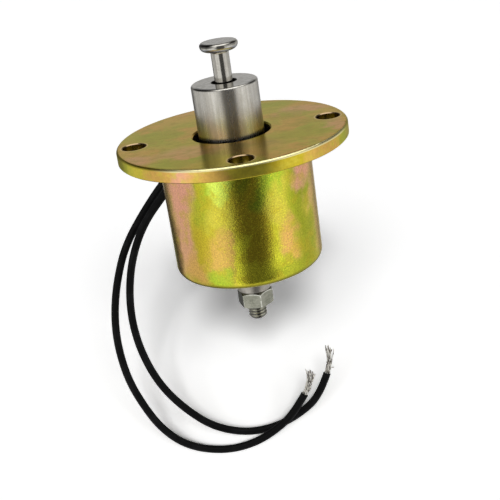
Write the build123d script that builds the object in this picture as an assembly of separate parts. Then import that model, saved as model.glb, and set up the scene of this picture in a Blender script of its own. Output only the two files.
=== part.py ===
from build123d import *
from math import cos, pi, radians, sin, tan
import os

# Round plunger electromagnet: flange on top, coil in a steel cup, stud at the back.
# Millimetres. The origin is the centre of the flange's mounting face and +Z is the plunger's axis.

# Plunger and pin
plunger_dia = 20.0
plunger_reach = 15.4
plunger_edge = 0.7
plunger_shoulder = 1.96
plunger_guide_length = 12.0
plunger_nose_height = 4.95
plunger_nose_land = 1.75
stroke = 12.0
pin_shank_dia = 5.4
pin_neck = 9.25
pin_neck_cove = 0.8
pin_head_overhang = 3.0
pin_head_thick = 2.65
pin_head_edge = 0.9
pin_head_round = 1.7
pin_tail_step = 0.7
pin_tail_length = 8.0
pin_ring_gap = 0.9
pin_ring_depth = 1.2

# Return spring
spring_wire = 0.7
spring_mean_dia = 8.6
spring_turns = 9
spring_pocket_gap = 0.6
spring_pocket_depth = 13.0
spring_seat_depth = 1.0
spring_facets = 14

# Flange
flange_thick = 4.0
flange_edge = 0.9
flange_under_edge = 0.25
flange_hole_margin = 1.8
flange_hole_edge = 0.4
bolt_can_margin = 6.5
bolt_rim_margin = 5.5
bolt_hole_dia = 7.2
bolt_hole_edge = 0.25
bolt_count = 4
spigot_height = 2.0

# Guide tube and its stops
tube_wall = 0.45
tube_sink = 5.0
stop_washer_thick = 0.5
shim_thick = 0.3

# Coil
winding_thick = 4.8
tape_thick = 0.4
bobbin_wall = 1.2
bobbin_flange_thick = 1.5
bobbin_flange_margin = 1.05
insulator_thick = 0.5

# Cup
can_wall = 2.5
can_bottom = 3.0
can_corner = 2.5
can_inner_corner = 1.0

# Fixed core
core_land = 0.76
core_spigot_wall = 4.0
core_base = 4.0
core_web = 1.0

# Stud, collar and nut
stud_dia = 6.0
stud_tail = 5.1
stud_chamfer = 0.8
sleeve_wall = 2.05
sleeve_length = 9.6
sleeve_edge = 0.3
nut_flats = 10.0
nut_height = 5.0
nut_corner_angle = 41.8
nut_top_share = 0.95
nut_bottom_share = 1.06
nut_bore_edge = 0.5

# Leads and grommet
lead_dia = 2.6
lead_exit_angle = 135.0
lead_exit_z = -16.65
lead_gap = 0.3
lead_bend_share = 0.45
grommet_wall = 1.25
grommet_lip_width = 1.2
grommet_lip_thick = 1.4
grommet_inner_lip_width = 0.7
grommet_inner_lip_thick = 1.0
grommet_edge = 0.5
strand_dia = 0.25
strand_length = 7.0
strand_rings = [(1, 0.0), (5, 0.32), (10, 0.62)]
strand_fan = 0.16

# Clearances, all radial or face to face
running_clearance = 0.04
press_clearance = 0.02
slip_clearance = 0.1
tube_clearance = 0.05
end_clearance = 0.05
nose_clearance = 0.24
lip_clearance = 0.4
sleeve_clearance = 0.2
can_clearance = 0.5

# Lead routes, chosen by hand from the coil outwards
outer_route = [
    (-13.5, 13.5, -15.2), (-19.0, 19.0, -15.2), (-23.4, 25.4, -20.3), (-32.0, 27.9, -30.6),
    (-39.6, 24.4, -39.8), (-44.1, 21.1, -49.7), (-47.0, 18.1, -59.9), (-48.1, 15.7, -70.7),
    (-46.9, 13.1, -82.8), (-43.5, 10.9, -92.8), (-38.3, 8.8, -103.1), (-30.1, 6.5, -110.3),
    (-18.1, 4.4, -113.1), (-7.3, 3.2, -111.4), (1.8, 3.2, -106.8), (7.6, 3.6, -102.0),
    (11.8, 3.8, -96.0),
]
inner_route = [
    (-13.5, 13.5, -18.1), (-19.0, 19.0, -18.1), (-23.6, 22.1, -23.2), (-32.4, 24.4, -33.3),
    (-38.2, 21.5, -43.9), (-41.2, 18.6, -55.5), (-41.8, 16.4, -66.7), (-40.0, 14.6, -78.1),
    (-35.8, 12.5, -88.9), (-28.9, 10.9, -98.4), (-20.3, 9.5, -106.3), (-9.2, 9.0, -110.5),
    (1.3, 9.0, -109.9), (10.0, 9.0, -106.4), (17.4, 9.2, -100.8), (21.0, 10.0, -93.0),
]

# Diameters that follow from the pin, the spring and the stud
pin_head_dia = pin_shank_dia + 2 * pin_head_overhang
pin_tail_dia = pin_shank_dia - 2 * pin_tail_step
pin_ring_dia = pin_shank_dia + 2 * pin_ring_gap
spring_pocket_dia = spring_mean_dia + spring_wire + 2 * spring_pocket_gap
plunger_nose_dia = spring_pocket_dia + 2 * plunger_nose_land
core_spigot_dia = stud_dia + 2 * core_spigot_wall
sleeve_bore_dia = stud_dia + 2 * sleeve_clearance
sleeve_dia = sleeve_bore_dia + 2 * sleeve_wall

# Diameters that follow from the plunger outwards
guide_dia = plunger_dia + 2 * plunger_shoulder
tube_inner_dia = guide_dia + 2 * running_clearance
tube_outer_dia = tube_inner_dia + 2 * tube_wall
tube_lip_dia = plunger_dia + 2 * lip_clearance
tube_seat_dia = tube_outer_dia + 2 * tube_clearance
flange_hole_dia = plunger_dia + 2 * flange_hole_margin
bobbin_bore_dia = tube_outer_dia + 2 * slip_clearance
bobbin_hub_dia = bobbin_bore_dia + 2 * bobbin_wall
winding_dia = bobbin_hub_dia + 2 * winding_thick
tape_dia = winding_dia + 2 * tape_thick
bobbin_flange_dia = tape_dia + 2 * bobbin_flange_margin
can_inner_dia = bobbin_flange_dia + 2 * can_clearance
can_dia = can_inner_dia + 2 * can_wall
bolt_circle_dia = can_dia + 2 * bolt_can_margin
flange_dia = bolt_circle_dia + 2 * bolt_rim_margin

# Sizes of the grommet that follow from the two leads
lead_pitch = lead_dia + lead_gap
lead_slot_width = lead_dia + 2 * tube_clearance
grommet_dia = lead_pitch + lead_slot_width + 2 * grommet_wall
grommet_lip_dia = grommet_dia + 2 * grommet_lip_width
grommet_inner_lip_dia = grommet_dia + 2 * grommet_inner_lip_width

# Heights that follow from the mounting face downwards
flange_under_z = -flange_thick
spigot_z = flange_under_z - spigot_height
bobbin_top_z = spigot_z - insulator_thick
tube_top_z = -tube_sink
lip_under_z = tube_top_z - tube_wall
stop_under_z = lip_under_z - stop_washer_thick
shoulder_z = stop_under_z - end_clearance
nose_top_z = shoulder_z - plunger_guide_length
nose_z = nose_top_z - plunger_nose_height
seat_floor_z = nose_z - stroke - end_clearance - shim_thick
can_floor_z = seat_floor_z - core_base
can_bottom_z = can_floor_z - can_bottom
bobbin_bottom_z = can_floor_z + insulator_thick
winding_high_z = bobbin_top_z - bobbin_flange_thick
winding_low_z = bobbin_bottom_z + bobbin_flange_thick
spring_floor_z = seat_floor_z - spring_seat_depth
spring_ceiling_z = nose_z + spring_pocket_depth
stud_top_z = spring_floor_z - core_web
sleeve_under_z = can_bottom_z - sleeve_length
nut_under_z = sleeve_under_z - nut_height
stud_tip_z = nut_under_z - stud_tail
head_under_z = plunger_reach + pin_neck
head_top_z = head_under_z + pin_head_thick
ring_floor_z = plunger_reach - pin_ring_depth

made = {}


def turned(points):
    """Solid of revolution about Z from a closed outline of (radius, height) points."""
    return revolve(make_face(Plane.XZ * Polyline(*points, close=True)), Axis.Z)


def tube(outer_dia, inner_dia, low_z, high_z):
    """Plain ring between two heights."""
    height = high_z - low_z
    ring = Cylinder(outer_dia / 2, height) - Cylinder(inner_dia / 2, height)
    return Pos(0, 0, low_z + height / 2) * ring


def circles_at(part, z, radius):
    """Round edges of one radius at one height."""
    found = []
    for edge in part.edges().filter_by(GeomType.CIRCLE):
        if abs(edge.arc_center.Z - z) < 1e-4 and abs(edge.radius - radius) < 1e-4:
            found.append(edge)
    return found


def keep(name, part):
    part.label = name
    made[name] = part


def mounting_flange():
    """Round front plate: a spigot locates the cup's mouth and a step holds the guide tube down."""
    radius = flange_dia / 2
    hole = flange_hole_dia / 2
    seat = tube_seat_dia / 2
    seat_z = tube_top_z + end_clearance
    spigot = can_inner_dia / 2 - press_clearance
    plate = turned([
        (hole, 0), (radius, 0), (radius, flange_under_z), (spigot, flange_under_z),
        (spigot, spigot_z), (seat, spigot_z), (seat, seat_z), (hole, seat_z),
    ])
    plate = fillet(circles_at(plate, 0, radius), flange_edge)
    plate = chamfer(circles_at(plate, flange_under_z, radius), flange_under_edge)
    plate = chamfer(circles_at(plate, 0, hole), flange_hole_edge)
    drill = Pos(0, 0, flange_under_z / 2) * Cylinder(bolt_hole_dia / 2, 2 * flange_thick)
    countersink = Pos(0, 0, -bolt_hole_edge / 2) * Cone(
        bolt_hole_dia / 2, bolt_hole_dia / 2 + bolt_hole_edge, bolt_hole_edge)
    for place in PolarLocations(bolt_circle_dia / 2, bolt_count):
        plate -= place * (drill + countersink)
    return plate


def housing_can():
    """Deep cup with a rounded bottom corner, a core hole and the lead hole."""
    cup = Pos(0, 0, (flange_under_z + can_bottom_z) / 2) * Cylinder(can_dia / 2, flange_under_z - can_bottom_z)
    cup = fillet(circles_at(cup, can_bottom_z, can_dia / 2), can_corner)
    room = Pos(0, 0, (flange_under_z + can_floor_z) / 2) * Cylinder(
        can_inner_dia / 2, flange_under_z - can_floor_z)
    room = fillet(circles_at(room, can_floor_z, can_inner_dia / 2), can_inner_corner)
    core_hole = Pos(0, 0, can_bottom_z) * Cylinder(core_spigot_dia / 2 + press_clearance, 4 * can_bottom)
    lead_hole = lead_frame(can_inner_dia / 2 - can_wall) * Cylinder(
        grommet_dia / 2 + press_clearance, 4 * can_wall, align=(Align.CENTER, Align.CENTER, Align.MIN))
    return cup - room - core_hole - lead_hole


def lead_frame(reach):
    """Frame whose Z points straight out of the lead hole, at a distance from the axis."""
    turn = radians(lead_exit_angle)
    outward = Vector(cos(turn), sin(turn), 0)
    return Plane(origin=outward * reach + Vector(0, 0, lead_exit_z), x_dir=(0, 0, 1), z_dir=outward)


def fixed_core():
    """Fixed pole piece with a conical seat, riveted through the cup's bottom."""
    body = tube_inner_dia / 2 - press_clearance
    floor = plunger_nose_dia / 2 - press_clearance
    mouth = body - core_land
    slope = (guide_dia - plunger_nose_dia) / 2 / plunger_nose_height
    rim_z = seat_floor_z + (mouth - floor - nose_clearance) / slope
    seat_base = floor + nose_clearance
    spigot = core_spigot_dia / 2
    pocket = spring_pocket_dia / 2
    thread = stud_dia / 2 + press_clearance
    thread_top_z = stud_top_z + end_clearance
    return turned([
        (0, spring_floor_z), (pocket, spring_floor_z), (pocket, seat_floor_z), (seat_base, seat_floor_z),
        (mouth, rim_z), (body, rim_z), (body, can_floor_z), (spigot, can_floor_z),
        (spigot, can_bottom_z), (thread, can_bottom_z), (thread, thread_top_z), (0, thread_top_z),
    ])


def guide_tube():
    """Thin brass tube with its top edge turned in over the plunger's shoulder."""
    outer = tube_outer_dia / 2
    inner = tube_inner_dia / 2
    lip = tube_lip_dia / 2
    return turned([
        (lip, tube_top_z), (outer, tube_top_z), (outer, can_floor_z), (inner, can_floor_z),
        (inner, lip_under_z), (lip, lip_under_z),
    ])


def stop_washer():
    """Fibre washer that the plunger's shoulder rests against."""
    return tube(tube_inner_dia - 2 * slip_clearance, tube_lip_dia, stop_under_z, lip_under_z)


def residual_shim():
    """Thin brass ring on the floor of the core's seat."""
    outer = plunger_nose_dia - 2 * slip_clearance
    inner = spring_pocket_dia + 2 * slip_clearance
    return tube(outer, inner, seat_floor_z, seat_floor_z + shim_thick)


def plunger():
    """Plunger with a captive shoulder, a conical nose, a spring pocket and a pin hole."""
    top = plunger_dia / 2
    guide = guide_dia / 2
    nose = plunger_nose_dia / 2
    pocket = spring_pocket_dia / 2
    tail = pin_tail_dia / 2 + press_clearance
    tail_floor_z = ring_floor_z - pin_tail_length - end_clearance
    body = turned([
        (0, spring_ceiling_z), (pocket, spring_ceiling_z), (pocket, nose_z), (nose, nose_z),
        (guide, nose_top_z), (guide, shoulder_z), (top, shoulder_z),
        (top, plunger_reach), (pin_ring_dia / 2, plunger_reach), (pin_ring_dia / 2, ring_floor_z),
        (tail, ring_floor_z), (tail, tail_floor_z), (0, tail_floor_z),
    ])
    return fillet(circles_at(body, plunger_reach, top), plunger_edge)


def plunger_pin():
    """Button-headed pin, its thin tail pressed into the plunger."""
    shank = pin_shank_dia / 2
    head = pin_head_dia / 2
    tail = pin_tail_dia / 2
    tail_z = ring_floor_z - pin_tail_length
    pin = turned([
        (0, tail_z), (tail, tail_z), (tail, ring_floor_z), (shank, ring_floor_z), (shank, head_under_z),
        (head, head_under_z), (head, head_top_z), (0, head_top_z),
    ])
    pin = fillet(circles_at(pin, head_top_z, head), pin_head_edge)
    pin = fillet(circles_at(pin, head_under_z, head), pin_head_round)
    return fillet(circles_at(pin, head_under_z, shank), pin_neck_cove)


def return_spring():
    """Compression spring with a closed turn at each end, made of short straight runs."""
    low = spring_floor_z + spring_wire / 2
    high = spring_ceiling_z - spring_wire / 2
    closed_rise = spring_wire * 1.1
    steps = spring_turns * spring_facets
    heights = []
    for step in range(steps + 1):
        turn = step / spring_facets
        if turn <= 1:
            height = low + closed_rise * turn
        elif turn >= spring_turns - 1:
            height = high - closed_rise * (spring_turns - turn)
        else:
            share = (turn - 1) / (spring_turns - 2)
            height = low + closed_rise + share * (high - low - 2 * closed_rise)
        heights.append(height)
    radius = spring_mean_dia / 2
    points = []
    for step, height in enumerate(heights):
        turn = 2 * pi * step / spring_facets
        points.append((radius * cos(turn), radius * sin(turn), height))
    path = Polyline(*points)
    section = Plane(origin=path @ 0, z_dir=path % 0) * RegularPolygon(spring_wire / 2, 6)
    return sweep(section, path=path, transition=Transition.RIGHT)


def coil_bobbin():
    """Moulded bobbin: a thin hub between two flanges."""
    bore = bobbin_bore_dia / 2
    hub = bobbin_hub_dia / 2
    rim = bobbin_flange_dia / 2
    return turned([
        (bore, bobbin_top_z), (rim, bobbin_top_z), (rim, winding_high_z), (hub, winding_high_z),
        (hub, winding_low_z), (rim, winding_low_z), (rim, bobbin_bottom_z), (bore, bobbin_bottom_z),
    ])


def coil_winding():
    """The wound copper, filling the bobbin between its flanges."""
    return tube(winding_dia, bobbin_hub_dia, winding_low_z, winding_high_z)


def coil_tape():
    """Insulating tape round the winding."""
    return tube(tape_dia, winding_dia, winding_low_z, winding_high_z)


def front_insulator():
    """Washer between the flange's spigot and the bobbin."""
    outer = bobbin_flange_dia - 2 * press_clearance
    return tube(outer, bobbin_bore_dia, bobbin_top_z, spigot_z)


def rear_insulator():
    """Washer between the bobbin and the cup's floor."""
    outer = can_inner_dia - 2 * can_inner_corner - 2 * slip_clearance
    return tube(outer, bobbin_bore_dia, can_floor_z, bobbin_bottom_z)


def spacer_sleeve():
    """Round collar between the cup's bottom and the nut."""
    collar = tube(sleeve_dia, sleeve_bore_dia, sleeve_under_z, can_bottom_z)
    rims = circles_at(collar, sleeve_under_z, sleeve_dia / 2) + circles_at(collar, can_bottom_z, sleeve_dia / 2)
    return chamfer(rims, sleeve_edge)


def rear_stud():
    """Stud screwed into the core, at the size over its thread."""
    stud = Pos(0, 0, (stud_top_z + stud_tip_z) / 2) * Cylinder(stud_dia / 2, stud_top_z - stud_tip_z)
    return chamfer(circles_at(stud, stud_tip_z, stud_dia / 2), stud_chamfer)


def hex_nut():
    """Hexagon nut, bevelled on its upper face and eased on its lower one."""
    prism = extrude(RegularPolygon(nut_flats / 2, 6, major_radius=False, rotation=nut_corner_angle), nut_height)
    prism = Pos(0, 0, nut_under_z) * prism
    corner = nut_flats / 2 / cos(pi / 6)
    top = nut_flats / 2 * nut_top_share
    bottom = nut_flats / 2 * nut_bottom_share
    top_drop = (corner - top) * tan(pi / 6)
    bottom_drop = (corner - bottom) * tan(pi / 6)
    bore = stud_dia / 2 + press_clearance
    shape = turned([
        (bore, nut_under_z + nut_bore_edge), (bore + nut_bore_edge, nut_under_z), (bottom, nut_under_z),
        (corner, nut_under_z + bottom_drop), (corner, sleeve_under_z - top_drop), (top, sleeve_under_z),
        (bore + nut_bore_edge, sleeve_under_z), (bore, sleeve_under_z - nut_bore_edge),
    ])
    return prism & shape


def lead_grommet():
    """Rubber grommet with a lip inside and outside the cup's wall and a slot for two leads."""
    outside = can_dia / 2 + press_clearance
    inside = can_inner_dia / 2 - press_clearance
    low = inside - grommet_inner_lip_thick
    high = outside + grommet_lip_thick
    bottom = (Align.CENTER, Align.CENTER, Align.MIN)
    body = Cylinder(grommet_dia / 2, high - low, align=bottom)
    lip_depth = can_wall / 2 + grommet_lip_thick
    lip = Cylinder(grommet_lip_dia / 2, lip_depth, align=bottom)
    lip = fillet(circles_at(lip, lip_depth, grommet_lip_dia / 2), grommet_edge)
    inner_lip = Cylinder(grommet_inner_lip_dia / 2, can_wall / 2 + grommet_inner_lip_thick, align=bottom)
    tall = 4 * grommet_lip_dia
    body = lead_frame(low) * body
    lip = lead_frame(high - lip_depth) * lip - Pos(0, 0, lead_exit_z) * Cylinder(outside, tall)
    inner_lip = lead_frame(low) * inner_lip & Pos(0, 0, lead_exit_z) * Cylinder(inside, tall)
    slot = extrude(SlotCenterToCenter(lead_pitch, lead_slot_width), high)
    return body + lip + inner_lip - lead_frame(0) * slot


def lead_radii(route):
    """Bend radius at each inner point: as large as the two runs beside it allow."""
    corners = [Vector(*point) for point in route]
    radii = []
    for before, here, after in zip(corners, corners[1:], corners[2:]):
        arriving = here - before
        leaving = after - here
        half_turn = radians(arriving.get_angle(leaving)) / 2
        radii.append(lead_bend_share * min(arriving.length, leaving.length) / tan(half_turn))
    return radii


def lead_wire(name, route):
    """Insulated lead: one round tube along its route."""
    radii = lead_radii(route)
    path = FilletPolyline(*route, radius=radii)
    lead = sweep(Plane(origin=path @ 0, z_dir=path % 0) * Circle(lead_dia / 2), path=path)
    section = pi * lead_dia ** 2 / 4
    print(name, "radii", [round(radius, 1) for radius in radii])
    print(name, "length", round(path.length, 1), "volume share", round(lead.volume / section / path.length, 4))
    return lead


def bare_strands(route):
    """Sixteen tinned strands fanning out of a lead's cut end."""
    end = Vector(*route[-1])
    ahead = (end - Vector(*route[-2])).normalized()
    cut = Plane(origin=end, z_dir=ahead)
    strands = []
    for count, ring in strand_rings:
        for index in range(count):
            turn = 2 * pi * index / count
            lean = strand_fan * ring
            shift = Vector(ring * cos(turn), ring * sin(turn), 0)
            heading = Vector(lean * cos(turn), lean * sin(turn), 1).normalized()
            start = cut.from_local_coords(shift)
            along = cut.from_local_coords(shift + heading) - start
            strand = extrude(Plane(origin=start, z_dir=ahead) * Circle(strand_dia / 2), strand_length, dir=along)
            strands.append(strand)
    return Compound(children=strands)


keep("mounting_flange", mounting_flange())
keep("housing_can", housing_can())
keep("fixed_core", fixed_core())
keep("guide_tube", guide_tube())
keep("stop_washer", stop_washer())
keep("residual_shim", residual_shim())
keep("plunger", plunger())
keep("plunger_pin", plunger_pin())
keep("return_spring", return_spring())
keep("coil_bobbin", coil_bobbin())
keep("coil_winding", coil_winding())
keep("coil_tape", coil_tape())
keep("front_insulator", front_insulator())
keep("rear_insulator", rear_insulator())
keep("spacer_sleeve", spacer_sleeve())
keep("rear_stud", rear_stud())
keep("hex_nut", hex_nut())
keep("lead_grommet", lead_grommet())
for side, route in (("outer", outer_route), ("inner", inner_route)):
    keep("lead_wire_" + side, lead_wire("lead_wire_" + side, route))
    keep("bare_strands_" + side, bare_strands(route))

os.makedirs("parts", exist_ok=True)
for name, part in made.items():
    export_step(part, "parts/" + name + ".step")
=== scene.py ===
import bpy
import bmesh
import random
from math import cos, degrees, pi, radians, sin
from mathutils import Matrix, Vector


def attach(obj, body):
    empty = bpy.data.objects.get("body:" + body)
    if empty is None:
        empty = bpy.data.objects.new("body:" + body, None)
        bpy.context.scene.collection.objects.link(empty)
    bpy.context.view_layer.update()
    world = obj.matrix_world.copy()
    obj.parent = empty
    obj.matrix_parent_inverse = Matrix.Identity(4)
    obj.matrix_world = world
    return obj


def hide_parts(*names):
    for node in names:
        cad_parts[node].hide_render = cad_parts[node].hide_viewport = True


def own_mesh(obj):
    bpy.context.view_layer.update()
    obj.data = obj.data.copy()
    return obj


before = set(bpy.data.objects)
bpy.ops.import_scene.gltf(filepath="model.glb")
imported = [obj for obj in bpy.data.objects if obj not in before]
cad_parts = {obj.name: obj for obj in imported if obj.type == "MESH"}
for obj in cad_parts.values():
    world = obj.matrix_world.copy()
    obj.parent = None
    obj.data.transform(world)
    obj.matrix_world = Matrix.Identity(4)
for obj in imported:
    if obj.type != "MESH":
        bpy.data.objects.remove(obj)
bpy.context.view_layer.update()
mm = 0.001
print("frame loaded,", len(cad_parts), "nodes")

# camera: the photograph's viewpoint, in mm and degrees
camera = dict(place=(0.338, -291.54, 79.80), heading=-3.0, tilt=22.156, roll=-8.4225, lens=72.0)

cameraData = bpy.data.cameras.new("camera")
cameraData.lens = camera["lens"]
cameraData.sensor_width = 36.0
cameraData.clip_start = 0.01
cameraObject = bpy.data.objects.new("camera", cameraData)
bpy.context.scene.collection.objects.link(cameraObject)
cameraObject.matrix_world = (Matrix.Rotation(radians(camera["heading"]), 4, "Z")
                             @ Matrix.Translation(Vector(camera["place"]) * mm)
                             @ Matrix.Rotation(radians(90 - camera["tilt"]), 4, "X")
                             @ Matrix.Rotation(radians(camera["roll"]), 4, "Z"))
bpy.context.scene.camera = cameraObject


class Channel:
    # one output of a node; sums on it add Math nodes
    def __init__(self, shader, socket):
        self.shader = shader
        self.socket = socket

    def sum(self, operation, first, second=0.0):
        return self.shader.add("ShaderNodeMath", {"operation": operation}, {0: first, 1: second})

    def __add__(self, other):
        return self.sum("ADD", self, other)

    def __radd__(self, other):
        return self.sum("ADD", other, self)

    def __sub__(self, other):
        return self.sum("SUBTRACT", self, other)

    def __rsub__(self, other):
        return self.sum("SUBTRACT", other, self)

    def __mul__(self, other):
        return self.sum("MULTIPLY", self, other)

    def __rmul__(self, other):
        return self.sum("MULTIPLY", other, self)

    def __truediv__(self, other):
        return self.sum("DIVIDE", self, other)

    def __rtruediv__(self, other):
        return self.sum("DIVIDE", other, self)

    def __pow__(self, other):
        return self.sum("POWER", self, other)

    def __neg__(self):
        return self.sum("MULTIPLY", self, -1.0)

    def __abs__(self):
        return self.sum("ABSOLUTE", self)

    def sine(self):
        return self.sum("SINE", self)


class Shader:
    # adds nodes to one tree
    def __init__(self, tree):
        self.tree = tree
        tree.nodes.clear()

    def add(self, kind, settings=None, sockets=None, out=0):
        node = self.tree.nodes.new(kind)
        for name, value in (settings or {}).items():
            setattr(node, name, value)
        for key, value in (sockets or {}).items():
            if isinstance(value, Channel):
                self.tree.links.new(value.socket, node.inputs[key])
            else:
                node.inputs[key].default_value = value
        return Channel(self, node.outputs[out] if node.outputs else None)

    def place(self):
        return self.add("ShaderNodeTexCoord", out=3)

    def split(self, vector):
        parts = self.add("ShaderNodeSeparateXYZ", {}, {0: vector}).socket.node
        return [Channel(self, parts.outputs[index]) for index in range(3)]

    def join(self, x, y, z):
        return self.add("ShaderNodeCombineXYZ", {}, {0: x, 1: y, 2: z})

    def stretch(self, vector, amounts):
        return self.add("ShaderNodeVectorMath", {"operation": "MULTIPLY"}, {0: vector, 1: amounts})

    def noise(self, vector, scale, detail=3.0, rough=0.6):
        return self.add("ShaderNodeTexNoise", {}, {"Vector": vector, "Scale": scale, "Detail": detail,
                                                   "Roughness": rough})

    def smooth(self, value, low, high, start=0.0, end=1.0):
        return self.add("ShaderNodeMapRange", {"interpolation_type": "SMOOTHSTEP"},
                        {0: value, 1: low, 2: high, 3: start, 4: end})

    def fade(self, value, full, none):
        # 1 up to the first value, 0 past the second
        return 1 - self.smooth(value, full, none)

    def blend(self, factor, first, second):
        return self.add("ShaderNodeMix", {"data_type": "RGBA"},
                        {0: factor, 6: paint(first), 7: paint(second)}, out=2)

    def level(self, factor, first, second):
        return self.add("ShaderNodeMix", {"data_type": "FLOAT"}, {0: factor, 2: first, 3: second})

    def tone(self, colour, amount):
        # the same colour, lighter or darker by a number that may vary
        return self.add("ShaderNodeVectorMath", {"operation": "SCALE"}, {0: colour, 3: amount})

    def outward(self, x, y):
        # distance from the axis
        return self.add("ShaderNodeVectorMath", {"operation": "LENGTH"}, {0: self.join(x, y, 0.0)}, out=1)

    def wrap(self, angle, half):
        return self.add("ShaderNodeMath", {"operation": "WRAP"}, {0: angle, 1: half, 2: -half})

    def around(self, x, y, ahead=0.0):
        # degrees round the axis, 0 towards the camera and 90 towards +X, counted from one heading
        turn = self.add("ShaderNodeMath", {"operation": "ARCTAN2"}, {0: x, 1: -y}) * degrees(1)
        return self.wrap(turn - (ahead + camera["heading"]), 180.0)

    def bump(self, height, distance, strength=0.6, normal=None):
        sockets = {"Height": height, "Distance": distance, "Strength": strength}
        if normal:
            sockets["Normal"] = normal
        return self.add("ShaderNodeBump", {}, sockets)


def paint(colour):
    return (*colour, 1.0) if isinstance(colour, tuple) and len(colour) == 3 else colour


def makeFinish(name, recipe, fixed):
    # recipe returns what varies over the surface, fixed holds the plain numbers
    material = bpy.data.materials.new(name)
    material.use_nodes = True
    shader = Shader(material.node_tree)
    varying = recipe(shader)
    surface = shader.add("ShaderNodeBsdfPrincipled", {}, {**fixed, **varying})
    shader.add("ShaderNodeOutputMaterial", {}, {"Surface": surface})
    return material


def addPiece(name, data, finish, body, replaced=()):
    piece = bpy.data.objects.new(name, data)
    bpy.context.scene.collection.objects.link(piece)
    data.materials.append(finish)
    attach(piece, body)
    if replaced:
        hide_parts(*replaced)
    return piece


# lead insulation: matt black, finely grained, rubbed a little shinier in places
leadLook = dict(black=(0.0018, 0.0018, 0.0019), rubbedAndHighlight=(0.0045, 0.0045, 0.0048), matt=0.58, shiny=0.44,
                wearScale=160.0, wearAndHighlight=(0.45, 0.72), grainScale=2600.0, relief=0.00003, uneven=0.1,
                gloss=0.13, ior=1.45)


def leadRecipe(shader):
    where = shader.place()
    wearAndHighlight = shader.smooth(shader.noise(where, leadLook["wearScale"]), *leadLook["wearAndHighlight"])
    grain = shader.noise(where, leadLook["grainScale"], detail=2.0, rough=0.5)
    rough = shader.level(wearAndHighlight, leadLook["matt"], leadLook["shiny"])
    return {
        "Base Color": shader.blend(wearAndHighlight, leadLook["black"], leadLook["rubbedAndHighlight"]),
        "Roughness": rough + leadLook["uneven"] * (grain - 0.5),
        "Normal": shader.bump(grain, leadLook["relief"], strength=0.5),
    }


leadFinish = makeFinish("leadBlack", leadRecipe, {"Specular IOR Level": leadLook["gloss"],
                                                  "IOR": leadLook["ior"]})

# leads: the same points as the part's source, in metres
leads = dict(
    thick=0.0026, roundness=8, steps=14,
    exits=dict(outer=(-0.01725, 0.01725, -0.0152), inner=(-0.01725, 0.01725, -0.0181)),
    lengths=dict(outer=0.1699, inner=0.1605),
    outer=[
        (-0.0135, 0.0135, -0.0152), (-0.0190, 0.0190, -0.0152), (-0.0234, 0.0254, -0.0203),
        (-0.0320, 0.0279, -0.0306), (-0.0396, 0.0244, -0.0398), (-0.0441, 0.0211, -0.0497),
        (-0.0470, 0.0181, -0.0599), (-0.0481, 0.0157, -0.0707), (-0.0469, 0.0131, -0.0828),
        (-0.0435, 0.0109, -0.0928), (-0.0383, 0.0088, -0.1031), (-0.0301, 0.0065, -0.1103),
        (-0.0181, 0.0044, -0.1131), (-0.0073, 0.0032, -0.1114), (0.0018, 0.0032, -0.1068),
        (0.0076, 0.0036, -0.1020), (0.0118, 0.0038, -0.0960),
    ],
    inner=[
        (-0.0135, 0.0135, -0.0181), (-0.0190, 0.0190, -0.0181), (-0.0236, 0.0221, -0.0232),
        (-0.0324, 0.0244, -0.0333), (-0.0382, 0.0215, -0.0439), (-0.0412, 0.0186, -0.0555),
        (-0.0418, 0.0164, -0.0667), (-0.0400, 0.0146, -0.0781), (-0.0358, 0.0125, -0.0889),
        (-0.0289, 0.0109, -0.0984), (-0.0203, 0.0095, -0.1063), (-0.0092, 0.0090, -0.1105),
        (0.0013, 0.0090, -0.1099), (0.0100, 0.0090, -0.1064), (0.0174, 0.0092, -0.1008),
        (0.0210, 0.0100, -0.0930),
    ],
)


def roundCurve(name, thick, roundness, steps):
    curve = bpy.data.curves.new(name, "CURVE")
    curve.dimensions = "3D"
    curve.bevel_depth = thick / 2
    curve.bevel_resolution = roundness
    curve.resolution_u = steps
    curve.use_fill_caps = True
    return curve


def addRun(curve, points):
    spline = curve.splines.new("NURBS")
    spline.points.add(len(points) - 1)
    for point, where in zip(spline.points, points):
        point.co = (*where, 1.0)
    spline.order_u = 3
    spline.use_endpoint_u = True


def leadPiece(side):
    curve = roundCurve("lead_" + side, leads["thick"], leads["roundness"], leads["steps"])
    addRun(curve, leads[side])
    return addPiece("lead_" + side, curve, leadFinish, "stator", ["lead_wire_" + side])


# bare ends: fourteen tinned strands a lead, in mm from its end, combed nearly upright, a few bent aside
strands = dict(
    thick=0.00036, roundness=2, steps=5, rings=[(1, 0.0), (5, 0.42), (8, 0.80)],
    joints=6, twist=0.3, shortest=0.93, wander=0.22, kink=[(0.7, -0.45), (1.0, -1.25)],
    tinned=(0.97, 0.94, 0.87), tarnished=(0.12, 0.10, 0.08), tarnish=(0.47, 0.58), tarnishScale=1700.0,
    smoothest=0.3, roughest=0.5,
    outer=dict(seed=4, rise=9.0, lean=(0.36, 0.0, 1.0), waist=0.0, flare=1.20, stray=[(7, 5.0, 1.3)]),
    inner=dict(seed=9, rise=10.2, lean=(0.17, 0.0, 1.0), waist=0.30, flare=1.27,
               stray=[(6, 4.6, 1.4), (11, 4.8, -1.4), (9, 2.6, 1.3)]),
)


def strandRecipe(shader):
    where = shader.stretch(shader.place(), (1.0, 1.0, 0.35))
    tarnish = shader.noise(where, strands["tarnishScale"])
    dark = shader.smooth(tarnish, *strands["tarnish"])
    return {
        "Base Color": shader.blend(dark, strands["tinned"], strands["tarnished"]),
        "Roughness": shader.level(tarnish, strands["smoothest"], strands["roughest"]),
    }


strandFinish = makeFinish("tinnedStrands", strandRecipe, {"Metallic": 1.0})


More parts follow.
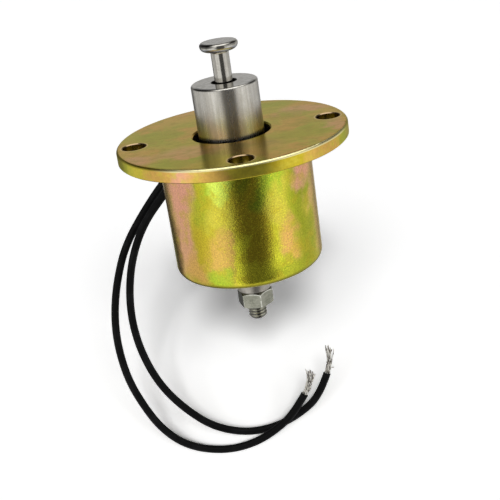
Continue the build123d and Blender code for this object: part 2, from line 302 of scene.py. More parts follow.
def strandPiece(side):
    look = strands[side]
    dice = random.Random(look["seed"])
    end = Vector(leads[side][-1])
    ahead = (end - Vector(leads[side][-2])).normalized()
    sideways = ahead.cross(Vector((0.0, 1.0, 0.0))).normalized()
    inward = sideways.cross(ahead).normalized()
    lean = Vector(look["lean"]).normalized()
    strayed = {index: (height, throw) for index, height, throw in look["stray"]}
    joints = strands["joints"]
    curve = roundCurve("strands_" + side, strands["thick"], strands["roundness"], strands["steps"])
    for count, ring in strands["rings"]:
        for index in range(count):
            turn = 2 * pi * (index + strands["twist"] * ring) / count
            out = sideways * cos(turn) + inward * sin(turn)
            rise = look["rise"] * dice.uniform(strands["shortest"], 1.0)
            wander = [Vector((dice.uniform(-1, 1), dice.uniform(-1, 1), 0.0)) * strands["wander"]
                      for joint in range(joints)]
            points = [end + out * ring * mm]
            for joint in range(1, joints + 1):
                share = joint / joints
                height = rise * share
                pinch = 1.0 - look["waist"] * sin(pi * share) ** 2
                spread = ring * (pinch + look["flare"] * share ** 2)
                point = end + (ahead * height * (1 - share) + lean * height * share + out * spread) * mm
                points.append(point + wander[joint - 1] * mm * min(1.0, 2 * share))
            strand = len(curve.splines)
            if strand in strayed:                  # cut off at a height and thrown to one side
                height, throw = strayed[strand]
                points = [point for joint, point in enumerate(points) if joint * rise / joints <= height]
                last = points[-1]
                for up, aside in strands["kink"]:
                    points.append(last + (lean * up + sideways * aside * throw) * mm)
            addRun(curve, points)
    return addPiece("strands_" + side, curve, strandFinish, "stator",
                    ["bare_strands_" + side])


for side in ("outer", "inner"):
    lead = leadPiece(side)
    ends = strandPiece(side)
print("leads and strands made")

# studio: a bright room of panels, by degrees round from the camera side and degrees of height
studio = dict(
    room=0.72, matt=0.05, seen=1.0,
    zones=[
        dict(heading=0, half=181, low=40, high=95, soft=9, level=0.20),       # dim ceiling
        dict(heading=28, half=100, low=45, high=86, soft=5, level=2.0),       # soft box overhead
        dict(heading=0, half=104, low=18, high=44, soft=6, level=0.40),       # grey wall behind the camera
        dict(heading=-112, half=38, low=25, high=58, soft=6, level=0.04),     # dark cards high at the sides
        dict(heading=112, half=22, low=26, high=52, soft=6, level=0.08),
        dict(heading=180, half=62, low=3, high=42, soft=9, level=0.50),       # grey wall at the back
        dict(heading=128, half=24, low=15, high=46, soft=8, level=0.07),      # its dark corners
        dict(heading=-128, half=24, low=15, high=50, soft=8, level=0.06),
        dict(heading=60, half=22, low=-75, high=18, soft=12, level=1.08),     # bright panels right and left
        dict(heading=-42, half=26, low=-75, high=18, soft=12, level=1.12),
        dict(heading=-150, half=15, low=-75, high=15, soft=5, level=0.12),    # dark edges for both flanks
        dict(heading=152, half=9, low=-75, high=5, soft=6, level=0.25),
        dict(heading=-27, half=11, low=-50, high=36, soft=5, level=1.0),      # light strip beside the card
        dict(heading=9, half=25, low=-50, high=36, soft=3, level=0.12),       # dark card in front
        dict(heading=6, half=34, low=-24, high=-17, soft=3, level=0.12),      # its wider foot
    ],
)


def makeStudio():
    world = bpy.data.worlds.new("studio")
    bpy.context.scene.world = world
    world.use_nodes = True
    shader = Shader(world.node_tree)
    x, y, z = shader.split(shader.place())
    height = shader.add("ShaderNodeMath", {"operation": "ARCSINE"}, {0: z}) * degrees(1)
    level = studio["room"]
    for zone in studio["zones"]:
        soft = zone["soft"]
        turn = abs(shader.around(x, y, zone["heading"]))
        inside = shader.fade(turn, zone["half"] - soft, zone["half"] + soft)
        above = shader.smooth(height, zone["low"] - soft, zone["low"] + soft)
        below = shader.fade(height, zone["high"] - soft, zone["high"] + soft)
        level = shader.level(inside * above * below, level, zone["level"])
    shiny = shader.add("ShaderNodeLightPath", out=3)              # matt surfaces get a small share
    level = shader.level(shiny, level * studio["matt"], level)
    seen = shader.add("ShaderNodeLightPath")                      # camera rays see plain white
    strength = shader.level(seen, level, studio["seen"])
    light = shader.add("ShaderNodeBackground", {}, {"Color": (1.0, 1.0, 1.0, 1.0), "Strength": strength})
    shader.add("ShaderNodeOutputWorld", {}, {"Surface": light})


makeStudio()

# soft suns from behind the camera: the shadow's core, one to each side of it, and its wide edge
suns = [
    dict(name="sunCore", heading=0.0, height=31.0, wide=8.0, strength=1.85),
    dict(name="sunRight", heading=12.0, height=31.0, wide=14.0, strength=0.9),
    dict(name="sunLeft", heading=-9.5, height=31.0, wide=14.0, strength=0.95),
    dict(name="sunEdge", heading=1.0, height=25.0, wide=36.0, strength=0.3),
]


def makeSun(sun):
    data = bpy.data.lights.new(sun["name"], "SUN")
    data.angle = radians(sun["wide"])
    data.energy = sun["strength"]
    lamp = bpy.data.objects.new(sun["name"], data)
    lamp.visible_glossy = False
    bpy.context.scene.collection.objects.link(lamp)
    turn, rise = radians(sun["heading"] + camera["heading"]), radians(sun["height"])
    toLamp = Vector((sin(turn) * cos(rise), -cos(turn) * cos(rise), sin(rise)))
    lamp.rotation_euler = toLamp.to_track_quat("Z", "Y").to_euler()


for sun in suns:
    makeSun(sun)

# floor: pale, just under the leads; whiter to the camera, where it still takes the shadow
floor = dict(z=-0.1142, half=4.0, grey=0.72, seen=1.5, grainScale=900.0, relief=0.00002)


def makeFloor():
    mesh = bpy.data.meshes.new("floor")
    half = floor["half"]
    corners = [(-half, -half, floor["z"]), (half, -half, floor["z"]),
               (half, half, floor["z"]), (-half, half, floor["z"])]
    mesh.from_pydata(corners, [], [(0, 1, 2, 3)])
    material = bpy.data.materials.new("floorPaper")
    material.use_nodes = True
    shader = Shader(material.node_tree)
    seen = shader.add("ShaderNodeLightPath")
    grain = shader.noise(shader.place(), floor["grainScale"], detail=2.0, rough=0.5)
    plain = (floor["grey"],) * 3
    bright = (floor["seen"],) * 3
    surface = shader.add("ShaderNodeBsdfDiffuse", {}, {
        "Color": shader.blend(seen, plain, bright),
        "Normal": shader.bump(grain, floor["relief"], strength=0.2),
    })
    shader.add("ShaderNodeOutputMaterial", {}, {"Surface": surface})
    mesh.materials.append(material)
    sheet = bpy.data.objects.new("floor", mesh)
    bpy.context.scene.collection.objects.link(sheet)
    sheet.visible_glossy = False


makeFloor()
print("camera, studio, suns and floor made")

# yellow zinc plating: hues wash over the steel in soft patches
plating = dict(
    green=(0.41, 0.45, 0.03), lime=(0.41, 0.58, 0.04), gold=(0.60, 0.47, 0.035), pink=(0.86, 0.42, 0.28),
    orange=(0.76, 0.45, 0.12), olive=(0.40, 0.36, 0.03), straw=(0.70, 0.60, 0.07), umber=(0.36, 0.19, 0.08),
    # on the next line, flare and sheen are hues for painted highlights and the near-black one is for painted
    # shade in holes and bores
    flare=(0.92, 0.90, 0.06), moss=(0.28, 0.37, 0.03), sheen=(0.78, 0.96, 0.14), paintedHoleShade=(0.03, 0.026, 0.02),
    drift=30.0, soft=(0.1, 1.5),
)


def addPatch(shader, hue, across, along, soft, name, amount):
    # an oval patch of one hue; across and along are 1 at its edge
    reach = across ** 2 + along ** 2
    return shader.blend(amount * shader.fade(reach, *soft), hue, plating[name])


def wash(shader, hue, wave, turn, height, patches):
    # each patch: degrees round from the camera side, height in mm, half width, half height, hue, how much
    for heading, middle, wide, tall, name, amount in patches:
        off = shader.wrap(turn - heading, 180.0)
        across = (off + (wave - 0.5) * plating["drift"]) / wide
        hue = addPatch(shader, hue, across, (height - middle) / tall, plating["soft"], name, amount)
    return hue


# cup: the deepest hues, orange-peel gloss, painted glints where the dark card is reflected, a grey-green
# bottom corner and the underside darkened with painted shade
cup = dict(
    patches=[
        # flare and sheen patches are painted highlights, the umber patch at the left edge is painted shade
        (-27, -16, 9, 13, "green", 0.85), (-18, -8, 12, 8, "lime", 0.7), (-17, -20, 11, 9, "straw", 0.8),
        (-82, -14, 18, 20, "pink", 0.6), (-53, -11, 15, 13, "pink", 1.0), (-54, -27, 14, 12, "pink", 0.85),
        (-34, -27, 11, 9, "gold", 0.9), (-20, -31, 12, 7, "orange", 0.8), (-45, -37, 13, 6, "orange", 0.9),
        (6, -24, 14, 26, "gold", 0.9), (-6, -31, 6, 7, "flare", 0.9),
        (22, -9, 12, 11, "lime", 0.9), (25, -18, 10, 7, "straw", 0.9), (20, -30, 8, 8, "flare", 0.4),
        (33, -31, 12, 8.5, "orange", 1.0), (44, -19, 11, 10, "green", 0.9), (54, -7, 14, 10, "pink", 1.0),
        (54, -31, 12, 9, "green", 0.8), (68, -12, 12, 12, "pink", 0.6), (78, -28, 14, 16, "pink", 0.5),
        (-67, -34, 8, 13, "umber", 0.9), (-24, -38, 12, 4, "lime", 0.8), (30, -39, 26, 4.5, "green", 0.9),
        (8, -36.5, 15, 4.5, "flare", 0.7), (0, -7, 8, 6, "moss", 0.8), (16, -8, 7, 6, "moss", 0.7),
        (-15, -7, 9, 8, "sheen", 0.85), (98, -32, 22, 14, "gold", 0.6), (118, -14, 24, 16, "lime", 0.6),
        (142, -34, 20, 12, "pink", 0.7), (165, -16, 22, 14, "orange", 0.6),
        (-168, -36, 20, 12, "lime", 0.7), (-146, -20, 18, 16, "gold", 0.6),
        (-122, -36, 20, 12, "pink", 0.7), (-104, -14, 18, 14, "straw", 0.7),
    ],
    waveScale=95.0, mixed=(0.36, 0.64), drift=20.0, cloudScale=230.0, cloudy=(0.48, 0.66), clouded=0.5,
    speckScale=2200.0, dimmest=0.46, speckled=1.02,
    paintedGlints=dict(heading=7.0, half=(20.0, 34.0), scale=1900.0, glint=(0.55, 0.65), amount=0.6),
    corner=dict(z=(-0.0414, -0.0400), olive=0.85, dimmed=0.3),
    under=dict(z=(-0.0422, -0.0412), reach=(0.0185, 0.0205), dimmed=0.6, rougher=0.2),
    peelScale=1100.0, peel=0.000045, grainScale=2600.0, grain=0.00005, smoothest=0.12, roughest=0.21,
)


def cupRecipe(shader):
    where = shader.place()
    x, y, z = shader.split(where)
    wave = shader.noise(where, cup["waveScale"])
    cloud = shader.noise(where, cup["cloudScale"])
    speck = shader.noise(where, cup["speckScale"], rough=0.7)
    hue = shader.blend(shader.smooth(wave, *cup["mixed"]), plating["green"], plating["straw"])
    height = z * 1000 + (wave - 0.5) * cup["drift"]
    hue = wash(shader, hue, wave, shader.around(x, y), height, cup["patches"])
    hue = shader.blend(cup["clouded"] * shader.smooth(cloud, *cup["cloudy"]), hue, plating["gold"])
    # painted glints: flecks of the flare hue scattered where the dark card is reflected
    paintedGlints = cup["paintedGlints"]
    band = shader.fade(abs(shader.around(x, y, paintedGlints["heading"])), *paintedGlints["half"])
    glint = shader.smooth(shader.noise(where, paintedGlints["scale"], rough=0.7), *paintedGlints["glint"])
    hue = shader.blend(paintedGlints["amount"] * band * glint, hue, plating["flare"])
    hue = shader.tone(hue, cup["dimmest"] + cup["speckled"] * speck)
    # painted shade: the bottom corner, also tinted olive, and the underside are darkened
    corner = shader.fade(z, *cup["corner"]["z"])
    hue = shader.blend(cup["corner"]["olive"] * corner, hue, plating["olive"])
    hue = shader.tone(hue, 1 - cup["corner"]["dimmed"] * corner)
    under = shader.fade(z, *cup["under"]["z"]) * shader.fade(shader.outward(x, y), *cup["under"]["reach"])
    hue = shader.tone(hue, 1 - cup["under"]["dimmed"] * under)
    rough = shader.level(speck, cup["smoothest"], cup["roughest"])
    peel = shader.bump(shader.noise(where, cup["peelScale"]), cup["peel"], strength=0.7)
    grain = shader.noise(where, cup["grainScale"], rough=0.7)
    return {
        "Base Color": hue,
        "Roughness": rough + cup["under"]["rougher"] * under,
        "Normal": shader.bump(grain, cup["grain"], strength=0.9, normal=peel),
    }


# flange: the same plating over a brushed plate, a painted highlight along the front edge, painted shade in
# its bore
plate = dict(
    # rubbed: painted highlight on the front edge; ring: painted highlight round the bolt holes; inside:
    # painted shade in them
    khaki=(0.56, 0.48, 0.07), brown=(0.72, 0.42, 0.10), shade=(0.38, 0.31, 0.03), rubbedAndHighlight=(0.98, 0.93, 0.52),
    ring=(0.92, 0.66, 0.34), lip=(0.40, 0.28, 0.16), inside=(0.26, 0.20, 0.03),
    patches=[
        (-31, -5, 7, 9, "orange", 0.7), (-21, 8, 10, 6, "green", 0.8), (-13, -15, 12, 6, "pink", 0.55),
        (1, -19, 11, 7, "umber", 0.6), (24, 13, 9, 6, "pink", 0.7), (30, 2, 5, 8, "orange", 0.7),
        (13, 25, 12, 6, "green", 0.8), (20, -13, 10, 6, "green", 0.7), (31, -9, 5, 6, "pink", 0.6),
        (-18, 24, 10, 8, "orange", 0.6), (-5, -30, 12, 4, "gold", 0.6), (-2, 30, 12, 5, "pink", 0.4),
        (6, -24, 8, 5, "orange", 0.5), (-30, -16, 6, 6, "pink", 0.7), (-18, -24, 8, 5, "green", 0.7),
        (-26, 0, 5, 5, "green", 0.6), (26, -2, 6, 5, "olive", 0.5), (18, 8, 7, 4, "olive", 0.5),
    ],
    rim=[
        (-86, -2, 12, 9, "straw", 0.9), (-68, -2, 9, 9, "lime", 0.5), (-52, -2, 11, 9, "straw", 0.8),
        (-38, -2, 9, 9, "orange", 0.9), (-24, -2, 9, 9, "pink", 0.85), (-12, -2, 9, 9, "orange", 0.8),
        (4, -2, 10, 9, "straw", 0.8), (17, -2, 7, 9, "gold", 0.7), (30, -2, 8, 9, "gold", 0.8),
        (42, -2, 8, 9, "orange", 0.8), (53, -2, 8, 9, "orange", 0.8), (68, -2, 9, 9, "green", 0.9),
        (82, -2, 10, 9, "straw", 0.8), (108, -2, 14, 9, "pink", 0.7), (140, -2, 14, 9, "gold", 0.8),
        (172, -2, 14, 9, "lime", 0.6), (-150, -2, 14, 9, "orange", 0.8), (-118, -2, 14, 9, "pink", 0.6),
    ],
    waveScale=80.0, mixed=(0.42, 0.58), drift=(20.0, 16.0), soft=(0.1, 1.6),
    mottle=(0.6, 1.0, 1.0), mottleScale=420.0, mottled=(0.42, 0.70), shaded=0.5, rimStart=(0.0343, 0.0349),
    rimMottled=(0.46, 0.66), rimPale=0.55, speckScale=1500.0, dimmest=0.62, speckled=0.46, brushed=0.30,
    edge=dict(reach=(0.0342, 0.0344), low=(-0.00085, -0.0007), high=(-0.00012, -0.00003),
              heading=16.0, half=(44.0, 62.0), amount=0.8, rougher=0.10),
    bore=dict(reach=(0.0121, 0.0123), deep=(-0.0011, -0.0005), half=(60.0, 85.0), rougher=0.4),
    holes=dict(place=29.5, drilled=(14.7, 15.0), ringStart=(14.8, 15.1), ringEnd=(17.2, 19.0), ringed=0.7,
               inside=(-0.0004, -0.0002)),
    brush=(0.15, 1.0, 0.4), brushScale=1500.0, brushRelief=0.000006, grain=0.000008,
    smoothest=0.15, roughest=0.26,
)


def plateRecipe(shader):
    where = shader.place()
    x, y, z = shader.split(where)
    radius = shader.outward(x, y)
    wave = shader.noise(where, plate["waveScale"], detail=4.0)
    mottle = shader.noise(shader.stretch(where, plate["mottle"]), plate["mottleScale"], detail=4.0)
    hue = shader.blend(shader.smooth(wave, *plate["mixed"]), plate["khaki"], plate["brown"])
    driftX, driftY = plate["drift"]
    for left, back, wide, deep, name, amount in plate["patches"]:
        across = (x * 1000 + (wave - 0.5) * driftX - left) / wide
        along = (y * 1000 + (wave - 0.5) * driftY - back) / deep
        hue = addPatch(shader, hue, across, along, plate["soft"], name, amount)
    hue = shader.blend(plate["shaded"] * shader.smooth(mottle, *plate["mottled"]), hue, plate["shade"])
    rim = wash(shader, plating["gold"], wave, shader.around(x, y), z * 1000, plate["rim"])
    rim = shader.blend(plate["rimPale"] * shader.smooth(mottle, *plate["rimMottled"]), rim, plating["straw"])
    hue = shader.blend(shader.smooth(radius, *plate["rimStart"]), hue, rim)
    speck = shader.noise(where, plate["speckScale"], rough=0.7)
    brush = shader.noise(shader.stretch(where, plate["brush"]), plate["brushScale"], detail=2.0)
    hue = shader.tone(hue, plate["dimmest"] + plate["speckled"] * speck + plate["brushed"] * brush)

    # the top edge gets a painted highlight in front and painted shade elsewhere
    edge = plate["edge"]
    outer = shader.smooth(radius, *edge["reach"])
    line = edge["amount"] * outer * shader.smooth(z, *edge["low"]) * shader.fade(z, *edge["high"])
    front = shader.fade(abs(shader.around(x, y, edge["heading"])), *edge["half"])
    hue = shader.blend(line * front, hue, plate["rubbedAndHighlight"])
    hue = shader.blend(line * (1 - front), hue, plate["shade"])

    # painted shade fills the bore, up to its lip on the camera side
    near = shader.fade(abs(shader.around(x, y)), *plate["bore"]["half"])
    deep = shader.level(near, shader.fade(z, *plate["bore"]["deep"]), 1.0)
    bore = shader.fade(radius, *plate["bore"]["reach"]) * deep
    hue = shader.blend(bore, hue, plating["paintedHoleShade"])

    # bolt holes, by the square of the distance from the nearest one in mm: a ring of painted highlight, a
    # brown lip, painted shade inside
    holes = plate["holes"]
    across, along = abs(x) * 1000, abs(y) * 1000
    toHole = shader.add("ShaderNodeMath", {"operation": "MINIMUM"}, {
        0: (across - holes["place"]) ** 2 + along ** 2, 1: across ** 2 + (along - holes["place"]) ** 2})
    wornAndRingHighlight = shader.smooth(toHole, *holes["ringStart"]) * shader.fade(toHole, *holes["ringEnd"])
    hue = shader.blend(holes["ringed"] * wornAndRingHighlight, hue, plate["ring"])
    drilled = shader.fade(toHole, *holes["drilled"])
    hue = shader.blend(drilled, hue, plate["lip"])
    hue = shader.blend(drilled * shader.fade(z, *holes["inside"]), hue, plate["inside"])
    brushed = shader.bump(brush, plate["brushRelief"], strength=0.5)
    rough = shader.level(brush, plate["smoothest"], plate["roughest"])
    return {
        "Base Color": hue,
        "Roughness": rough + plate["bore"]["rougher"] * bore + edge["rougher"] * outer,
        "Normal": shader.bump(speck, plate["grain"], normal=brushed),
    }


# turned metal: fine lines round or along the axis over a soft cloudiness, with painted shade in holes and
# low on the flanks and painted dark reflections on edges, by place
turning = dict(cloudScale=240.0, speckScale=2400.0, speckShare=0.2, cloudShare=0.55, wornAndRingHighlight=(0.40, 0.62),
               drawn=(1.0, 1.0, 0.03), darkReflectionSoft=(0.6, 1.3), footSoft=(0.4, 1.4))
plungerSteel = dict(
    light=(0.62, 0.60, 0.55), dull=(0.44, 0.42, 0.37), streaks=620.0, ring=0.000004,
    smoothest=0.22, roughest=0.34, cloudShare=0.2,
    paintedHoleShade=dict(reach=(0.0039, 0.003978), z=(0.0154, 0.0157), rougher=0.5),
    top=dict(z=(0.0151, 0.0154), smoother=0.16),
    paintedDarkReflections=dict(reach=(0.0086, 0.0090), z=(0.01475, 0.01495), places=[(-42, 26, 0.7), (58, 12, 0.5)]),
    foot=dict(z=(0.0, 0.0065), places=[(-66, 26, 0.6), (66, 28, 0.7)]),
)
pinSteel = dict(
    light=(0.55, 0.53, 0.48), dull=(0.38, 0.36, 0.32), streaks=900.0, ring=0.000003,
    smoothest=0.10, roughest=0.18, cloudShare=0.25,
    paintedHoleShade=dict(reach=(0.01, 0.0102), z=(0.0150, 0.0154), rougher=0.5),
    under=dict(reach=(0.0031, 0.0033), z=(0.0257, 0.0261), cool=(0.37, 0.385, 0.43), amount=0.85,
               rougher=0.15),
    paintedDarkReflections=dict(reach=(0.0046, 0.0050), z=(0.0262, 0.0264), places=[(-52, 34, 0.8), (40, 20, 0.5)]),
)
collarNickel = dict(light=(0.46, 0.435, 0.39), dull=(0.30, 0.28, 0.24), rings=2200.0, ring=0.000008,
                    smoothest=0.34, roughest=0.48)
nutNickel = dict(light=(0.36, 0.36, 0.295), dull=(0.22, 0.225, 0.175), rings=1200.0, ring=0.000014,
                 smoothest=0.12, roughest=0.26)
threadNickel = dict(nutNickel, light=(0.92, 0.91, 0.82), dull=(0.66, 0.65, 0.57),
                    root=dict(reach=(0.00246, 0.00292), dimmest=0.25))
hiddenSteel = dict(light=(0.50, 0.50, 0.48), dull=(0.36, 0.36, 0.34), rings=2000.0, ring=0.000006,
                   smoothest=0.3, roughest=0.45)
tubeBrass = dict(light=(0.72, 0.52, 0.21), dull=(0.50, 0.35, 0.14), rings=2400.0, ring=0.000005,
                 smoothest=0.2, roughest=0.36)
springWire = dict(hiddenSteel, rings=5200.0)


def turnedRecipe(look):
    def recipe(shader):
        where = shader.place()
        x, y, z = shader.split(where)
        radius = shader.outward(x, y)
        cloud = shader.noise(where, turning["cloudScale"], detail=4.0, rough=0.65)
        if "streaks" in look:
            lines = shader.noise(shader.stretch(where, turning["drawn"]), look["streaks"], rough=0.7)
        else:
            lines = shader.noise(shader.join(radius, 0.0, z), look["rings"], rough=0.7)
        speck = shader.noise(where, turning["speckScale"], detail=2.0)
        share, speckShare = look.get("cloudShare", turning["cloudShare"]), turning["speckShare"]
        dulled = share * cloud + (1 - speckShare - share) * lines + speckShare * speck
        hue = shader.blend(shader.smooth(dulled, *turning["wornAndRingHighlight"]), look["light"], look["dull"])
        rough = shader.level((1 - share) * lines + share * cloud, look["smoothest"], look["roughest"])
        if "paintedHoleShade" in look:                        # painted shade in a hole, on its wall or on the part standing in it
            spot = look["paintedHoleShade"]
            paintedHoleShade = shader.fade(radius, *spot["reach"]) * shader.fade(z, *spot["z"])
            hue = shader.blend(paintedHoleShade, hue, plating["paintedHoleShade"])
            rough = rough + spot["rougher"] * paintedHoleShade
        if "top" in look:                          # the end face is turned finer than the side
            rough = rough - look["top"]["smoother"] * shader.smooth(z, *look["top"]["z"])
        if "under" in look:                        # a head's underside stays cool and soft
            spot = look["under"]
            under = shader.smooth(radius, *spot["reach"]) * shader.fade(z, *spot["z"])
            rough = rough + spot["rougher"] * under
            hue = shader.blend(spot["amount"] * under, hue, spot["cool"])
        if "paintedDarkReflections" in look:                      # painted dark reflections: crescents on the rounded edge
            spot = look["paintedDarkReflections"]
            rim = shader.smooth(radius, *spot["reach"]) * shader.smooth(z, *spot["z"])
            full, none = turning["darkReflectionSoft"]
            for heading, half, amount in spot["places"]:
                side = shader.fade(abs(shader.around(x, y, heading)), half * full, half * none)
                hue = shader.tone(hue, 1 - amount * rim * side)
        if "foot" in look:                         # painted olive shade low on the two flanks
            low = shader.fade(z, *look["foot"]["z"])
            full, none = turning["footSoft"]
            for heading, half, amount in look["foot"]["places"]:
                side = shader.fade(abs(shader.around(x, y, heading)), half * full, half * none)
                hue = shader.blend(amount * low * side, hue, plating["olive"])
        if "root" in look:                         # painted shade in a thread's root
            spot = look["root"]
            hue = shader.tone(hue, shader.smooth(radius, *spot["reach"], spot["dimmest"], 1.0))
        return {"Base Color": hue, "Roughness": rough,
                "Normal": shader.bump(lines, look["ring"])}
    return recipe


# nut: painted highlights along its six corners and round the crown's arcs; top and crown in mm
nutHighlights = dict(bright=(0.74, 0.74, 0.66), turn=14.8, corner=(0.5, 3.0), top=-51.9, crown=4.75, slope=0.577,
               arc=(0.15, 0.4), steep=(0.15, 0.4), patchScale=900.0, patchy=(0.32, 0.6))


def nutRecipe(shader):
    varying = turnedRecipe(nutNickel)(shader)
    where = shader.place()
    x, y, z = shader.split(where)
    turn = shader.wrap(shader.around(x, y, nutHighlights["turn"]), 30.0)
    corner = shader.fade(abs(turn), *nutHighlights["corner"])
    outside = shader.outward(x, y) * 1000 - nutHighlights["crown"]
    drop = (nutHighlights["top"] - z * 1000) - nutHighlights["slope"] * outside
    tilt = shader.split(shader.add("ShaderNodeNewGeometry", out=1))[2]
    arc = shader.fade(drop, *nutHighlights["arc"]) * shader.fade(tilt, *nutHighlights["steep"])
    wearAndHighlight = shader.add("ShaderNodeMath", {"operation": "MAXIMUM"}, {0: corner, 1: arc})
    patchy = shader.smooth(shader.noise(where, nutHighlights["patchScale"]), *nutHighlights["patchy"])
    varying["Base Color"] = shader.blend(wearAndHighlight * patchy, varying["Base Color"], nutHighlights["bright"])
    return varying


# moulded, wound and pressed parts inside the cup; ridge is the pitch of their windings in metres
windingCopper = dict(light=(0.62, 0.25, 0.10), dark=(0.30, 0.10, 0.04), scale=700.0, relief=0.0001,
                     smoothest=0.25, roughest=0.4, ridge=0.0004)
tapeFilm = dict(light=(0.62, 0.47, 0.10), dark=(0.45, 0.32, 0.06), scale=260.0, relief=0.00004,
                smoothest=0.3, roughest=0.5, ridge=0.0098)
bobbinPlastic = dict(light=(0.045, 0.045, 0.047), dark=(0.022, 0.022, 0.023), scale=800.0, relief=0.00003,
                     smoothest=0.4, roughest=0.6)
fibreRed = dict(light=(0.22, 0.07, 0.045), dark=(0.12, 0.035, 0.025), scale=1500.0, relief=0.00004,
                smoothest=0.6, roughest=0.85)
grommetRubber = dict(light=(0.028, 0.028, 0.028), dark=(0.012, 0.012, 0.012), scale=1100.0, relief=0.00004,
                     smoothest=0.5, roughest=0.75)


def innerRecipe(look):
    def recipe(shader):
        where = shader.place()
        cloud = shader.noise(where, look["scale"], detail=4.0)
        height = shade = cloud
        if "ridge" in look:
            height = (shader.split(where)[2] * (2 * pi / look["ridge"])).sine() * 0.5 + 0.5
            # the colour darkens in the grooves between the ridges: painted shade
            shade = 0.5 * cloud + 0.5 * height
        return {
            "Base Color": shader.blend(shade, look["dark"], look["light"]),
            "Roughness": shader.level(cloud, look["smoothest"], look["roughest"]),
            "Normal": shader.bump(height, look["relief"]),
        }
    return recipe


# finishes: what is the same all over each surface, then the materials and the nodes that wear them
metal = {"Metallic": 1.0}
zinc = {"Metallic": 1.0, "Specular Tint": (1.0, 0.96, 0.72, 1.0)}
plastic = {"Metallic": 0.0, "IOR": 1.47}
recipes = dict(
    flangeZinc=(plateRecipe, zinc), cupZinc=(cupRecipe, zinc), nutNickel=(nutRecipe, metal),
    plungerSteel=(turnedRecipe(plungerSteel), metal), pinPolished=(turnedRecipe(pinSteel), metal),
    collarNickel=(turnedRecipe(collarNickel), metal), threadNickel=(turnedRecipe(threadNickel), metal),
    coreSteel=(turnedRecipe(hiddenSteel), metal), tubeBrass=(turnedRecipe(tubeBrass), metal),
    springWire=(turnedRecipe(springWire), metal), windingCopper=(innerRecipe(windingCopper), metal),
    tapeFilm=(innerRecipe(tapeFilm), plastic), bobbinPlastic=(innerRecipe(bobbinPlastic), plastic),
    fibreRed=(innerRecipe(fibreRed), plastic), grommetRubber=(innerRecipe(grommetRubber), plastic),
)
finishes = {name: makeFinish(name, recipe, fixed) for name, (recipe, fixed) in recipes.items()}
nodeFinishes = dict(
    mounting_flange="flangeZinc", housing_can="cupZinc", fixed_core="coreSteel", guide_tube="tubeBrass",
    stop_washer="fibreRed", residual_shim="tubeBrass", plunger="plungerSteel", plunger_pin="pinPolished",
    coil_bobbin="bobbinPlastic", coil_winding="windingCopper", coil_tape="tapeFilm",
    front_insulator="fibreRed", rear_insulator="fibreRed", spacer_sleeve="collarNickel",
    hex_nut="nutNickel", lead_grommet="grommetRubber",
)
for node, finish in nodeFinishes.items():
    for slot in bpy.data.objects[node].material_slots:
        slot.material = finishes[finish]
print("finishes on", len(nodeFinishes), "nodes")

# stud, in mm: smooth inside the cup, cut with a 1 mm thread from the core's end to the tip
stud = dict(top=-37.3, threadTop=-42.6, tip=-62.0, crest=3.0, root=2.42, pitch=1.0, chamfer=0.8,
            crestHalf=0.07, rootHalf=0.10, around=64, steps=8, weld=0.001)


def threadRadius(share):
    # flat crest, straight flanks and flat root over one pitch
    crest, root = 2 * stud["crestHalf"], 2 * stud["rootHalf"]
    away = abs(share - 0.5) * 2                    # 0 at the crest, 1 at the root
    run = min(1.0, max(0.0, (away - crest) / (1 - crest - root)))
    return stud["crest"] + (stud["root"] - stud["crest"]) * run


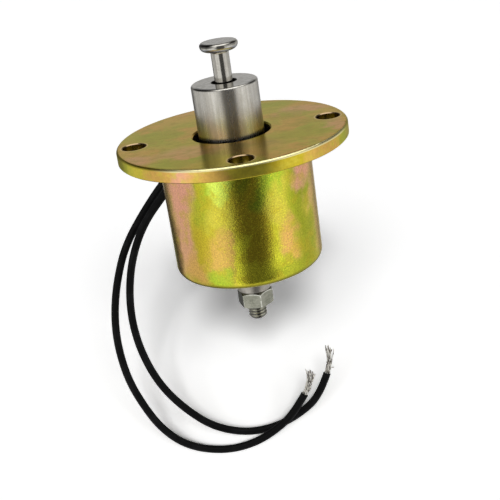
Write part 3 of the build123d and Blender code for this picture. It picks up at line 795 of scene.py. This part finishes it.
def studMesh():
    built = bmesh.new()
    count, steps, pitch = stud["around"], stud["steps"], stud["pitch"]
    angles = [2 * pi * index / count for index in range(count + 1)]
    turns = int((stud["threadTop"] - stud["tip"]) / pitch) + 2
    rows = []
    for row in range(-steps, turns * steps + 1):
        ring = []
        for index, angle in enumerate(angles):
            z = stud["tip"] - pitch + (row / steps + index / count) * pitch
            height = min(max(z, stud["tip"]), stud["threadTop"])
            bevelled = stud["crest"] - stud["chamfer"] + max(0.0, height - stud["tip"])
            radius = min(threadRadius(row / steps % 1.0), bevelled)
            if z >= stud["threadTop"]:
                radius = stud["root"]
            ring.append(built.verts.new((radius * cos(angle) * mm, radius * sin(angle) * mm, height * mm)))
        rows.append(ring)
    for height in (stud["threadTop"], stud["top"]):
        rows.append([built.verts.new((stud["crest"] * cos(angle) * mm, stud["crest"] * sin(angle) * mm,
                                      height * mm)) for angle in angles])
    for low, high in zip(rows, rows[1:]):
        for index in range(count):
            built.faces.new((low[index], low[index + 1], high[index + 1], high[index]))
    bmesh.ops.remove_doubles(built, verts=built.verts, dist=stud["weld"] * mm)
    bmesh.ops.dissolve_degenerate(built, edges=built.edges, dist=stud["weld"] * mm)
    bmesh.ops.holes_fill(built, edges=[edge for edge in built.edges if edge.is_boundary], sides=0)
    bmesh.ops.recalc_face_normals(built, faces=built.faces)
    mesh = bpy.data.meshes.new("stud_thread")
    built.to_mesh(mesh)
    built.free()
    return mesh


addPiece("stud_thread", studMesh(), finishes["threadNickel"], "stator", ["rear_stud"])
print("stud made")

# spring, in mm: round wire, a closed turn at each end
spring = dict(low=-35.95, high=-10.3, wire=0.35, mean=4.3, turns=9, closedRise=0.77, keep=0.544,
              around=10, facets=36)


def springMesh():
    built = bmesh.new()
    turns, rise = spring["turns"], spring["closedRise"]
    pitch = (spring["high"] - spring["low"] - 2 * rise) / (turns - 2)
    rings = []
    for step in range(turns * spring["facets"] + 1):
        turn = step / spring["facets"]
        if turn <= 1:
            z = spring["low"] + rise * turn
        elif turn >= turns - 1:
            z = spring["high"] - rise * (turns - turn)
        else:
            z = spring["low"] + rise + pitch * (turn - 1)
        angle = 2 * pi * turn
        ring = []
        for index in range(spring["around"]):
            side = 2 * pi * index / spring["around"]
            radius = spring["mean"] + spring["wire"] * cos(side)
            ring.append(built.verts.new((radius * cos(angle) * mm, radius * sin(angle) * mm,
                                         (z + spring["wire"] * sin(side)) * mm)))
        rings.append(ring)
    for low, high in zip(rings, rings[1:]):
        for index in range(spring["around"]):
            after = (index + 1) % spring["around"]
            built.faces.new((low[index], low[after], high[after], high[index]))
    built.faces.new(rings[0][::-1])
    built.faces.new(rings[-1])
    bmesh.ops.recalc_face_normals(built, faces=built.faces)
    mesh = bpy.data.meshes.new("spring_coil")
    built.to_mesh(mesh)
    built.free()
    mesh.polygons.foreach_set("use_smooth", [True] * len(mesh.polygons))
    return mesh


coil = addPiece("spring_coil", springMesh(), finishes["springWire"], "stator",
                ["return_spring"])
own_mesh(coil)
print("spring made")

# plain view
bpy.context.scene.view_settings.view_transform = "Standard"
